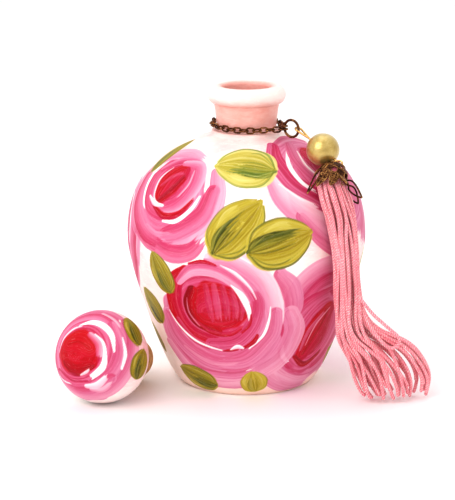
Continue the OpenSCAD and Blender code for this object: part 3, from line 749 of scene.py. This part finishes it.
ROSE_BALL = [
    ([(-21, -6, 6), (-22, 8, 8), (-13, 20, 8), (2, 23, 7), (14, 18, 6)], PINK, ROSE, 0.95, 0.92),
    ([(14, 19, 5), (20, 8, 7), (19, -6, 7), (10, -17, 8), (-5, -20, 8), (-18, -13, 6)], BLUSH, ROSE, 0.95, 0.95),
    ([(-24, 4, 1.6), (-19.5, 16, 2.4), (-8, 25, 1.8)], WHITE, WHITE, 1.0, 0.9),
    ([(-15, -9, 5), (-17, 4, 5), (-11, 13.5, 5), (1, 17.5, 4.5), (10, 13, 4)], MAGENTA, PINK, 1.0, 0.92),
    ([(9, 14, 5), (14.5, 4, 6), (13, -6, 6), (6, -13, 6)], PINK, ROSE, 1.0, 0.9),
    ([(-14, -10, 4), (-6, -14.5, 5), (4, -13, 4)], MAGENTA, ROSE, 1.0, 0.9),
    ([(12, -10, 5), (2, -17, 6), (-8, -18, 5)], PINK, MAGENTA, 0.8, 0.8),
    ([(3, -16, 2), (8, -16, 3), (13, -11, 2)], PALE, BLUSH, 0.85, 0.6),
    ([(-8, 3, 8), (-3, 4, 11), (2, 2, 8)], (198, 6, 22), RED, 0.8, 1.0),
    ([(-8, -5, 5), (-3, -7, 7), (3, -5, 4)], RED, DEEP, 0.5, 1.0),
    ([(1, 7.5, 2.4), (5.5, 4, 3.4), (6.5, -2, 2.4)], PALE, ROSE, 0.8, 0.85),
    ([(-14, -1, 0.5), (-12.5, 5, 1.1), (-8, 9.6, 1.3), (-3.5, 11.2, 0.6)], WHITE, PALE, 0.95, 0.95),
    ([(-5.5, 11.5, 0.8), (0, 13.6, 2.8), (5.5, 12.4, 3.2), (10, 8.4, 2.6), (12.4, 1, 0.8)], WHITE, WHITE, 1.0, 0.95),
    ([(3, 8, 0.6), (7, 5, 1.2), (8.6, 0, 1.8), (8, -5.5, 3), (3, -10.5, 2.4)], WHITE, WHITE, 1.0, 0.95),
    ([(-1, -9.5, 1), (1.5, -8, 1.6), (3, -6.5, 0.8)], WHITE, PALE, 0.9, 0.9),
    ([(1, -14.5, 2.4), (6, -13.5, 3.6), (11, -8, 2)], WHITE, PALE, 0.9, 0.75),
    ([(14.5, 9, 0.7), (17, 1.5, 1.8), (16, -6, 1.2)], WHITE, WHITE, 1.0, 0.95),
    ([(-17, -12.5, 0.8), (-12, -14.2, 1.3), (-7, -14.6, 0.7)], WHITE, PALE, 0.95, 0.9),
    ([(2, 20.5, 1.6), (9, 17.5, 1.6), (14, 12, 1)], PALE, WHITE, 0.6, 0.6),
]


def paint_rose(canvas, chart, washes, strokes, turn=0.0, size=1.0, mirror=False):
    """Paints a rose's washes and strokes, turned by this many degrees, scaled and mirrored if need be."""
    c, s = np.cos(np.radians(turn)), np.sin(np.radians(turn))
    flip = -1 if mirror else 1
    for (x, y), radii, tilt, inner, outer in washes:
        x *= flip
        canvas.wash(chart, (size * (c * x - s * y), size * (s * x + c * y)), (size * radii[0], size * radii[1]),
                    flip * tilt + turn, inner, outer)
    for points, left, right, load, dry in strokes:
        if mirror:
            left, right = right, left
        points = [(size * (c * flip * x - s * y), size * (s * flip * x + c * y), size * w) for x, y, w in points]
        canvas.stroke(chart, points, left, right, load, dry)


def paint_leaf(canvas, chart, length, width, turn, tones, middle=(0, 0), dark=0.5):
    """A full leaf with a short tip: an oval, its two loaded halves, a dark heart that fans out from the stem, and
    fine hairs that follow the outline. turn is where its tip points, in degrees, from the right. dark is how far
    the heart reaches."""
    pale, mid, deep = tones
    c, s = np.cos(np.radians(turn)), np.sin(np.radians(turn))

    def along(points):
        return [(middle[0] + c * x * length / 2 - s * y * width / 2,
                 middle[1] + s * x * length / 2 + c * y * width / 2, w * width / 2) for x, y, w in points]

    stroke = canvas.stroke
    canvas.wash(chart, (middle[0] - 0.04 * c * length, middle[1] - 0.04 * s * length),
                (0.47 * length, 0.5 * width), turn, mid, mid, 0.03)
    stroke(chart, along([(0.3, 0, 1.1), (0.75, 0.02, 0.6), (1.03, 0.06, 0.1)]), mid, pale, 1.0, 0.95, 0.12)
    for side in (1, -1):
        first, last = (pale, mid) if side > 0 else (mid, pale)
        stroke(chart, along([(-0.88, 0.1 * side, 0.4), (-0.55, 0.48 * side, 0.85), (0.1, 0.54 * side, 0.9),
                             (0.62, 0.34 * side, 0.6), (0.96, 0.06 * side, 0.15)]), first, last, 0.9, 0.95, 0.2)
    stroke(chart, along([(-0.9, 0, 0.3), (-0.55, 0.1, 0.85), (2 * dark - 0.9, 0.12, 0.7),
                         (2 * dark - 0.45, 0.08, 0.3)]),
           deep, mid, 0.85, 0.4, 0.25)
    for k, y in enumerate(np.linspace(-0.78, 0.82, 15)):
        reach = canvas.random.uniform(0.35, 0.95)
        tone = (deep, pale, mid, pale, mid)[k % 5]
        stroke(chart, along([(-0.86, 0.25 * y, 0.05), (-0.5, 0.86 * y, 0.08), (-0.5 + 0.6 * reach, y, 0.08),
                             (-0.5 + 1.4 * reach, (1 - 0.55 * reach) * y, 0.03)]), tone, tone, 0.42, 0.6, 0.1)
    stroke(chart, along([(-0.35, 0.62, 0.1), (0.1, 0.68, 0.36), (0.6, 0.42, 0.22)]), CREAM, pale, 0.55, 0.5, 0.2)
    for side, shade in ((-1, deep), (1, mid)):
        stroke(chart, along([(-0.93, 0.1 * side, 0.07), (-0.6, 0.8 * side, 0.12), (0.12, 0.98 * side, 0.12),
                             (0.7, 0.56 * side, 0.08), (1, 0.08, 0.03)]), deep, shade, 0.6, 0.9, 0.1)


# ---------------------------------------------------------------- bottle

low, high = (np.array(c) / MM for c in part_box("bottle"))
BODY_R = high[0]
BOTTLE_H = high[2]
BELLY_Z = BOTTLE_H - 63
COLLAR_R, COLLAR_Z = 14.6, 106.8
NECK_R, NECK_TOP_R, LIP_R, BORE_R = 12.3, 13.4, 16.2, 10.0
WALL = 3.5
FOOT_R = 28.5

side_low = bezier([[FOOT_R, 0.8], [34, 3], [BODY_R, BELLY_Z - 12], [BODY_R, BELLY_Z]], 70)
side_high = bezier([[BODY_R, BELLY_Z], [BODY_R, BELLY_Z + 29.5], [31, 99.5], [COLLAR_R, 105]], 70)
body_side = np.vstack([side_low, side_high[1:]])
neck = np.vstack([
    arc_points((COLLAR_R - 0.9, COLLAR_Z - 0.9), 0.9, 0, 90, 15),
    arc_points((NECK_R + 0.5, COLLAR_Z + 0.5), 0.5, 270, 180, 15),
    through([(NECK_R + 0.02, 108.2), (NECK_R + 0.25, 110.5), (NECK_R + 0.6, 114), (NECK_TOP_R, 117.3)], 8),
    arc_points((NECK_TOP_R + 0.7, 117.4), 0.7, 180, 110, 15)[1:],
    arc_points((0, 0), 1, -65, 90, 7) * [3.4, 3.7] + [LIP_R - 3.4, BOTTLE_H - 3.7],
    arc_points((BORE_R + 1.6, BOTTLE_H - 1.6), 1.6, 90, 180, 10),
    [(BORE_R, 103)]])
inside = np.vstack([
    bezier([[BORE_R + 2, 101], [28.5, 96], [BODY_R - WALL, BELLY_Z + 26.5], [BODY_R - WALL, BELLY_Z]], 40),
    bezier([[BODY_R - WALL, BELLY_Z], [BODY_R - WALL, BELLY_Z - 12],
            [31, WALL + 3], [FOOT_R - WALL, WALL + 0.5]], 40)[1:],
    [(0, WALL + 0.5)]])
foot = [(0, 0), (FOOT_R - 6, 0), (FOOT_R - 0.8, 0), (FOOT_R - 0.3, 0.25)]
verts, faces = lathe(np.vstack([foot, body_side, neck, inside]), 288)
bottle = make_piece("painted_bottle", verts, faces, "bottle", base_coat("bottle_paint", COLLAR_Z - 1.5))
tidy_poles(bottle)
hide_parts("bottle")

outline = evenly(body_side, CELL)
tangent = unit(np.gradient(outline, axis=0))
columns = int(round(2 * np.pi * BODY_R / CELL))
a = np.linspace(0, 2 * np.pi, columns, endpoint=False)
ring = np.stack([np.sin(a), -np.cos(a)], 1)
points = np.concatenate([outline[:, None, :1] * ring, np.repeat(outline[:, 1:, None], columns, 1)], -1)
normals = np.concatenate([tangent[:, None, 1:] * ring, np.repeat(-tangent[:, :1, None], columns, 1)], -1)
body_canvas = Canvas(points, normals, True, 7)


def on_body(azimuth, height):
    """The chart about a point of the body. Azimuth is from the front towards the right."""
    a = np.radians(azimuth)
    return body_canvas.chart(np.array([np.sin(a), -np.cos(a), 0]), height)


# name, azimuth, height, (washes, strokes), turn, size, mirrored
BODY_ROSES = [
    ("rose_left", -98, 60, (UPPER_LEFT_WASH, ROSE_UPPER_LEFT), 25, 1.0, True),
    ("rose_back_low", 172, 42, (FRONT_WASH, ROSE_FRONT), -12, 1.0, True),
    ("rose_back_left", -146, 84, (LOWER_RIGHT_WASH, ROSE_LOWER_RIGHT), 65, 0.92, False),
    ("rose_right", 104, 78, (UPPER_LEFT_WASH, ROSE_UPPER_LEFT), -20, 1.0, False),
    ("rose_back_right", 118, 26, (LOWER_RIGHT_WASH, ROSE_LOWER_RIGHT), 0, 0.85, True),
    ("rose_upper_right", 36, 88.2, (UPPER_RIGHT_WASH, ROSE_UPPER_RIGHT), 0, 1.0, False),
    ("rose_upper_left", -41, 86, (UPPER_LEFT_WASH, ROSE_UPPER_LEFT), 0, 1.0, False),
    ("rose_lower_right", 43, 26.4, (LOWER_RIGHT_WASH, ROSE_LOWER_RIGHT), 0, 1.0, False),
    ("rose_front", -16, 42, (FRONT_WASH, ROSE_FRONT), 0, 1.0, False),
]
# name, azimuth, height, length, width, turn, tones, dark
BODY_LEAVES = [
    ("leaf_neck", -1, 97.5, 25, 22, 172, YOUNG_LEAF, 0.62),
    ("leaf_pair_left", -5, 76, 30, 19, 48, WARM_LEAF, 0.45),
    ("leaf_pair_right", 15.5, 69.5, 29, 20, 14, WARM_LEAF, 0.7),
    ("leaf_left_high", -46, 54, 19, 12, 115, DARK_LEAF, 0.4),
    ("leaf_left_mid", -61, 37, 17, 13, 122, DARK_LEAF, 0.6),
    ("leaf_left_low", -72, 21, 15, 6.5, 112, DARK_LEAF, 0.5),
    ("leaf_foot_left", -38, 7, 19, 12.5, 160, DARK_LEAF, 0.5),
    ("leaf_foot_front", 5, 7.5, 12, 11, 100, (STRAW, GOLD, OLIVE), 0.5),
    ("leaf_shoulder", -79, 97.5, 24, 8, 102, DARK_LEAF, 0.5),
    ("leaf_right", 84, 53, 17, 9, 70, GREEN_LEAF, 0.5),
    ("leaf_back_neck", 165, 97, 24, 15, 10, GREEN_LEAF, 0.6),
    ("leaf_back_pair_left", 158, 78, 26, 15, 60, WARM_LEAF, 0.5),
    ("leaf_back_pair_right", -174, 80, 24, 15, 130, DARK_LEAF, 0.6),
    ("leaf_back_foot", -130, 18, 22, 13, 20, DARK_LEAF, 0.5),
    ("leaf_back_side", -122, 46, 20, 11, 80, GREEN_LEAF, 0.5),
    ("leaf_right_foot", 80, 12, 18, 11, 150, DARK_LEAF, 0.5),
    ("leaf_back_middle", 142, 50, 20, 12, 75, DARK_LEAF, 0.5),
]
for name, azimuth, height, (washes, strokes), turn, size, mirrored in BODY_ROSES:
    body_canvas.begin(name)
    paint_rose(body_canvas, on_body(azimuth, height), washes, strokes, turn, size, mirrored)
for name, azimuth, height, length, width, turn, tones, dark in BODY_LEAVES:
    body_canvas.begin(name)
    paint_leaf(body_canvas, on_body(azimuth, height), length, width, turn, tones, dark=dark)
film_material = paint_film("brushed_paint")
body_canvas.films("painted_", "bottle", film_material)


# ---------------------------------------------------------------- stopper

BALL_R = 19.0
BALL_AT = np.array([-59, -35.3, BALL_R])
CORK_R, CORK_END_R, CORK_REACH = 9.9, 8.6, 36.0
heading = np.radians(20)
dip = np.arcsin(BALL_R / np.hypot(CORK_REACH, CORK_END_R)) - np.arctan(CORK_END_R / CORK_REACH)
stopper_z = np.array([np.sin(heading) * np.cos(dip), np.cos(heading) * np.cos(dip), -np.sin(dip)])
stopper_x = unit(np.cross(UP, stopper_z))
stopper_axes = [stopper_x, np.cross(stopper_z, stopper_x), stopper_z]
FLAT_AT, SOCKET_DEPTH = 17.0, 6.0

rim_angle = np.degrees(np.arcsin(FLAT_AT / BALL_R))
rim_r = np.sqrt(BALL_R ** 2 - FLAT_AT ** 2)
ball_profile = np.vstack([
    arc_points((0, 0), BALL_R, -90, rim_angle - 1.2, 2.0),
    [(rim_r - 0.15, FLAT_AT)],
    [(CORK_R + 0.05, FLAT_AT), (CORK_R + 0.05, FLAT_AT - SOCKET_DEPTH), (0, FLAT_AT - SOCKET_DEPTH)]])
ball_profile[0, 0] = 0
verts, faces = lathe(ball_profile, 192, stopper_axes, BALL_AT)
ball = make_piece("painted_ball", verts, faces, "stopper", base_coat("ball_paint"))
tidy_poles(ball)
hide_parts("stopper_ball")

cork_start = FLAT_AT - SOCKET_DEPTH + 0.1
cork_profile = np.vstack([
    [(0, cork_start), (CORK_R, cork_start)],
    evenly(np.array([(CORK_R, cork_start + 0.3), (CORK_R, cork_start + 9),
                     (CORK_END_R + 0.03, CORK_REACH - 0.8)]), 0.45),
    arc_points((CORK_END_R - 0.8, CORK_REACH - 0.8), 0.8, 0, 90, 18),
    evenly(np.array([(CORK_END_R - 1.2, CORK_REACH), (0, CORK_REACH)]), 0.45)])
CORK_SEGMENTS = 132
verts, faces = lathe(cork_profile, CORK_SEGMENTS)
pits = np.random.default_rng(5)
for _ in range(240):
    turn, z = pits.uniform(0, 2 * np.pi), pits.uniform(cork_start + 6, CORK_REACH + 8)
    r = CORK_R if z < CORK_REACH else pits.uniform(0, CORK_END_R)
    spot = np.array([r * np.cos(turn), r * np.sin(turn), min(z, CORK_REACH)])
    size = pits.uniform(0.35, 1.0)
    away = np.linalg.norm((verts - spot) * [1, 1, 0.7], axis=1)
    sink = -0.3 * size * smooth(1 - away / size)
    on_end = verts[:, 2] > CORK_REACH - 0.05
    radial = np.hypot(verts[:, 0], verts[:, 1])[:, None]
    verts[:, :2] += np.where(on_end, 0, sink)[:, None] * verts[:, :2] / np.maximum(radial, 1e-6)
    verts[:, 2] += np.where(on_end, sink, 0)
cork = make_piece("cork", verts @ np.array(stopper_axes) + BALL_AT, faces, "stopper", cork_grain("cork"))
tidy_poles(cork)
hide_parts("stopper_cork")

# The ball's painting spreads from the middle of its rose.
rose_at = unit([-0.322, -0.872, 0.369])
rose_right = unit(np.cross(UP, rose_at))
rose_up = np.cross(rose_at, rose_right)
half = BALL_R * np.radians(150)
steps = int(2 * half / (CELL * 1.1))
gx, gy = np.meshgrid(np.linspace(-half, half, steps), np.linspace(-half, half, steps))
reach = np.hypot(gx, gy)
angle = np.minimum(reach, half) / BALL_R
normals = (np.cos(angle)[..., None] * rose_at + (np.sin(angle) / np.maximum(reach, 1e-6))[..., None]
           * (gx[..., None] * rose_right + gy[..., None] * rose_up))
normals = unit(normals)
ball_canvas = Canvas(BALL_AT + BALL_R * normals, normals, False, 11)
off_paint = (normals @ stopper_z > (FLAT_AT - 0.6) / BALL_R) | (reach > half)
ball_canvas.begin("rose")
front_chart = (np.where(reach < half, gx, 1e3), np.where(reach < half, gy, 1e3))
paint_rose(ball_canvas, front_chart, BALL_WASH, ROSE_BALL)
ball_canvas.begin("leaves")
paint_leaf(ball_canvas, front_chart, 21, 10, 118, DARK_LEAF, (18.8, 17), 0.6)
paint_leaf(ball_canvas, front_chart, 19, 12, 82, DARK_LEAF, (26.5, -2), 0.6)
ball_canvas.begin("back")
paint_leaf(ball_canvas, front_chart, 18, 10, 60, GREEN_LEAF, (-31, -8), 0.5)
paint_leaf(ball_canvas, front_chart, 16, 9, 150, DARK_LEAF, (-22, 30), 0.5)
ball_canvas.cover[off_paint] = 0
ball_canvas.films("painted_ball_", "stopper", film_material)


# ---------------------------------------------------------------- chain, ring and pin

def coat(node_name, material):
    """Gives a CAD node this material and no other."""
    materials = frame["nodes"][node_name].data.materials
    materials.clear()
    materials.append(material)


chain_material = aged_brass("chain_brass", 0.55)
for name in frame["nodes"]:
    if name.startswith("chain_link_") or name == "jump_ring":
        coat(name, chain_material)
coat("eye_pin", gold_wire("pin_gold"))
coat("tassel_knot", floss("knot_floss"))


# ---------------------------------------------------------------- pearl

hang = np.radians(52.5)
OUT_DIR = np.array([np.sin(hang), -np.cos(hang), 0])
PEARL_AT, PEARL_R = np.array([30.5, -24.2, 102.6]), 6.75
RING_OUT, RING_D, RING_Z = 19.4, 7, 109.4
PIN_PIVOT = OUT_DIR * (RING_OUT + RING_D) + [0, 0, RING_Z]
PIN_DIR = unit(PIN_PIVOT - PEARL_AT)
pin_hole = 0.45
hole_angle = np.degrees(np.arccos((pin_hole + 0.25) / PEARL_R))
pearl_profile = np.vstack([[(pin_hole, -PEARL_R + 0.5)], arc_points((0, 0), PEARL_R, -hole_angle, hole_angle, 2.0),
                           [(pin_hole, PEARL_R - 0.5), (pin_hole, -PEARL_R + 0.5)]])
pearl_x = unit(np.cross(UP, PIN_DIR))
verts, faces = lathe(pearl_profile, 144, [pearl_x, np.cross(PIN_DIR, pearl_x), PIN_DIR], PEARL_AT)
pearl = make_piece("pearl", verts, faces, "pearl", pearl_coat("pearl"))
tidy_poles(pearl)
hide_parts("pearl_bead")


# ---------------------------------------------------------------- bead cap

TASSEL_PIVOT = PEARL_AT - 9.5 * PIN_DIR
CAP_AXIS = unit([-0.45, -0.45, -0.77])
cap_x = unit(OUT_DIR - CAP_AXIS * (OUT_DIR @ CAP_AXIS))
cap_axes = np.array([cap_x, np.cross(CAP_AXIS, cap_x), CAP_AXIS])
CAP_R, CAP_WALL, CAP_DROP, CAP_DEPTH, CAP_HOLE_R = 5.9, 0.45, 1.15, 5.9, 2.5
CAP_RIM = CAP_DROP + CAP_DEPTH
# Each petal: angle round the cap from its outer side, length, width, flare in degrees, whether it is an open
# loop, and twist in degrees.
PETALS = [(112, 12.5, 3.4, 2, True, 0), (80, 9.5, 3.6, 10, False, 0), (48, 7, 3.6, 16, False, 0),
          (22, 6.5, 3.6, 60, False, 0), (-10, 11, 5.0, 64, True, 40), (-50, 9.5, 4.4, 62, True, 60)]
dome_drop = CAP_DEPTH / np.sqrt(1 - (CAP_HOLE_R / CAP_R) ** 2)
dome_top = np.arccos(CAP_HOLE_R / CAP_R)


def on_dome(turn, share, out=0.0):
    """A point of the dome: share 0 is its rim and 1 the edge of its hole."""
    a = share * dome_top
    r, z = (CAP_R + out) * np.cos(a), CAP_RIM - (dome_drop + out) * np.sin(a)
    return np.stack(np.broadcast_arrays(r * np.cos(turn), r * np.sin(turn), z), -1)


def dome_ring(turn, share, radius, wire):
    """A wire ring lying on the dome round one of its holes."""
    a = np.linspace(0, 2 * np.pi, 28, endpoint=False)
    spread = CAP_R * np.cos(share * dome_top)
    path = on_dome(turn + radius * np.cos(a) / spread, share + radius * np.sin(a) / (CAP_R * dome_top), CAP_WALL)
    return tube(path, wire / 2, 8, closed=True)


cap_parts = []
rows, columns = 44, 220
share = np.linspace(0, 1, rows)
turns = np.linspace(0, 2 * np.pi, columns, endpoint=False)
outer = on_dome(turns[None], share[:, None], CAP_WALL)
inner = on_dome(turns[None], share[:, None], 0.05)
holes = np.zeros((rows, columns), bool)
HOLE_ROWS = [(6, 0.3, 1.15, 0.0), (6, 0.66, 0.7, 0.5), (12, 0.1, 0.32, 0.25)]
for count, at, radius, shift in HOLE_ROWS:
    for k in range(count):
        turn = 2 * np.pi * (k + shift) / count
        spread = CAP_R * np.cos(at * dome_top)
        dx = (turns[None] - turn + np.pi) % (2 * np.pi) - np.pi
        holes |= np.hypot(dx * spread, (share[:, None] - at) * CAP_R * dome_top) < radius
        cap_parts.append(dome_ring(turn, at, radius + 0.08, 0.34))
quads = grid_faces(rows, columns, True)
solid = ~holes.ravel()[quads].any(1)
kept = quads[solid]
edges = {}
for face in kept:
    for p, q in zip(face, np.roll(face, -1)):
        edges[(int(p), int(q))] = None
border = [(p, q) for p, q in edges if (q, p) not in edges]
count = rows * columns
shell = kept.tolist() + [[int(k) + count for k in f[::-1]] for f in kept]
shell += [[q, p, p + count, q + count] for p, q in border]
cap_parts.append((np.vstack([outer.reshape(-1, 3), inner.reshape(-1, 3)]), shell))
for at, wire in ((0.98, 0.7), (0.0, 0.55), (0.48, 0.3)):
    cap_parts.append(tube(on_dome(turns[::3], np.full(len(turns[::3]), at), CAP_WALL), wire / 2, 8, closed=True))


def petal_point(turn, flare, bow, across, along, twist=0.0):
    """A point of a petal that leaves the rim at this angle and flare, and curls outward as it goes. Twist, in
    degrees, turns it about its own length."""
    flare, twist = np.radians(flare), np.radians(twist) * smooth(along / 3)
    rise = across * np.sin(twist)
    across = across * np.cos(twist)
    r = CAP_R + CAP_WALL + np.sin(flare) * along + bow * along ** 2 + np.cos(flare) * rise
    z = CAP_RIM - 1 + np.cos(flare) * along - np.sin(flare) * rise
    return np.stack([r * np.cos(turn) - across * np.sin(turn), r * np.sin(turn) + across * np.cos(turn), z], -1)


def petal_half(t, width):
    """A leaf petal's half-width at each share of its length."""
    return width / 2 * np.sin(np.pi * t ** 0.75) ** 0.8 * (1 - 0.15 * t)


def petal_outline(length, width, n=48):
    """How far across and along each point of a petal's outline is, out one side and back the other."""
    t = np.linspace(0, 1, n)
    half = petal_half(t, width)
    return np.concatenate([half, -half[::-1][1:-1]]), np.concatenate([t, t[::-1][1:-1]]) * length


def petal_plate(turn, flare, length, width, thickness=0.24):
    """A thin solid leaf with a raised outline, its tip curled a little outward."""
    t, side = np.linspace(0.03, 0.985, 26), np.linspace(-1, 1, 9)
    across, along = petal_half(t, width)[:, None] * side[None], np.repeat(t[:, None] * length, side.size, 1)
    top = petal_point(turn, flare, 0.006, across, along)
    away = unit(np.cross(top[1, 4] - top[0, 4], top[0, 5] - top[0, 4]))
    dish = 0.35 * (1 - side[None] ** 2)[..., None] * away * np.sin(np.pi * t)[:, None, None]
    top = top + dish
    rows, columns = t.size, side.size
    count = rows * columns
    faces = grid_faces(rows, columns, False).tolist()
    faces += [[k + count for k in f[::-1]] for f in faces]
    ring = ([k for k in range(columns)] + [r * columns + columns - 1 for r in range(1, rows)]
            + [(rows - 1) * columns + k for k in range(columns - 2, -1, -1)]
            + [r * columns for r in range(rows - 2, 0, -1)])
    faces += [[q, p, p + count, q + count] for p, q in zip(ring, ring[1:] + ring[:1])]
    return np.vstack([top.reshape(-1, 3), (top - thickness * away).reshape(-1, 3)]), faces


loop_parts = []
for degrees, length, width, flare, is_open, twist in PETALS:
    turn = np.radians(degrees)
    across, along = petal_outline(length - 0.4, width)
    if is_open:
        loop_parts.append(tube(petal_point(turn, flare, 0.0, across, along, twist), 0.36, 10, closed=True))
        continue
    cap_parts.append(petal_plate(turn, flare, length - 0.4, width + 0.2))
    cap_parts.append(tube(petal_point(turn, flare, 0.006, across, along), 0.27, 8, closed=True))
    cap_parts.append(tube(petal_point(turn, flare, 0.006, np.zeros(12), np.linspace(0, length - 0.6, 12)), 0.3, 6))
    for side in (-1, 1):
        for at, size in ((0.3, 0.6), (0.56, 0.48)):
            a = np.linspace(0, 2 * np.pi, 20, endpoint=False)
            cap_parts.append(tube(petal_point(turn, flare, 0.006, side * (0.2 + size) + size * np.cos(a),
                                              at * length + size * np.sin(a)), 0.3, 6, closed=True))
# Small scallops fill the rim between the petals. The short ones face the bottle.
for degrees, length in ((-180, 1.6), (-150, 1.4), (-120, 1.5), (-85, 3.0), (6, 3.0), (150, 3.0)):
    across, along = petal_outline(length, 2.6, 20)
    cap_parts.append(tube(petal_point(np.radians(degrees), 10, 0.0, across, along), 0.2, 6, closed=True))
verts, faces = join_parts(cap_parts)
cap = make_piece("filigree_cap", verts @ cap_axes + TASSEL_PIVOT, faces, "tassel", aged_brass("cap_brass", 0.42))
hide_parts("bead_cap")
verts, faces = join_parts(loop_parts)
loops = make_piece("cap_loops", verts @ cap_axes + TASSEL_PIVOT, faces, "tassel", aged_brass("loop_brass", 0.05))
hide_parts("bead_cap")


# ---------------------------------------------------------------- stage and light

def stage_plane(name, corners, colour):
    n = Nodes(name)
    n.finish(Base_Color=linear(*colour), Roughness=0.6, Specular_IOR_Level=0.2)
    mesh = bpy.data.meshes.new(name)
    mesh.from_pydata([tuple(np.array(c) * MM) for c in corners], [], [(0, 1, 2, 3)])
    mesh.materials.append(n.material)
    plane = bpy.data.objects.new(name, mesh)
    bpy.context.collection.objects.link(plane)


def area_light(name, at, aim, size, power, colour=(1, 1, 1)):
    data = bpy.data.lights.new(name, "AREA")
    data.shape = "RECTANGLE"
    data.size, data.size_y = size[0] * MM, size[1] * MM
    data.energy = power
    data.color = colour
    light = bpy.data.objects.new(name, data)
    light.location = Vector(at) * MM
    light.rotation_euler = (Vector(aim) - Vector(at)).to_track_quat("-Z", "Y").to_euler()
    bpy.context.collection.objects.link(light)


stage_plane("floor", [(-3000, -3000, 0), (3000, -3000, 0), (3000, 3000, 0), (-3000, 3000, 0)], (253, 251, 251))
area_light("key", (-420, -520, 620), (0, 0, 60), (640, 640), 3.0, (1.0, 0.985, 0.97))
area_light("fill", (620, -420, 380), (10, 0, 60), (500, 500), 0.15, (0.93, 0.96, 1.0))
area_light("top", (0, 100, 900), (0, 0, 60), (700, 700), 0.9)
world = bpy.data.worlds.new("world")
world.use_nodes = True
world.node_tree.nodes["Background"].inputs["Color"].default_value = (1, 0.985, 0.98, 1)
world.node_tree.nodes["Background"].inputs["Strength"].default_value = 1.05
bpy.context.scene.world = world
bpy.context.scene.view_settings.view_transform = "Standard"
bpy.context.scene.view_settings.gamma = 0.82
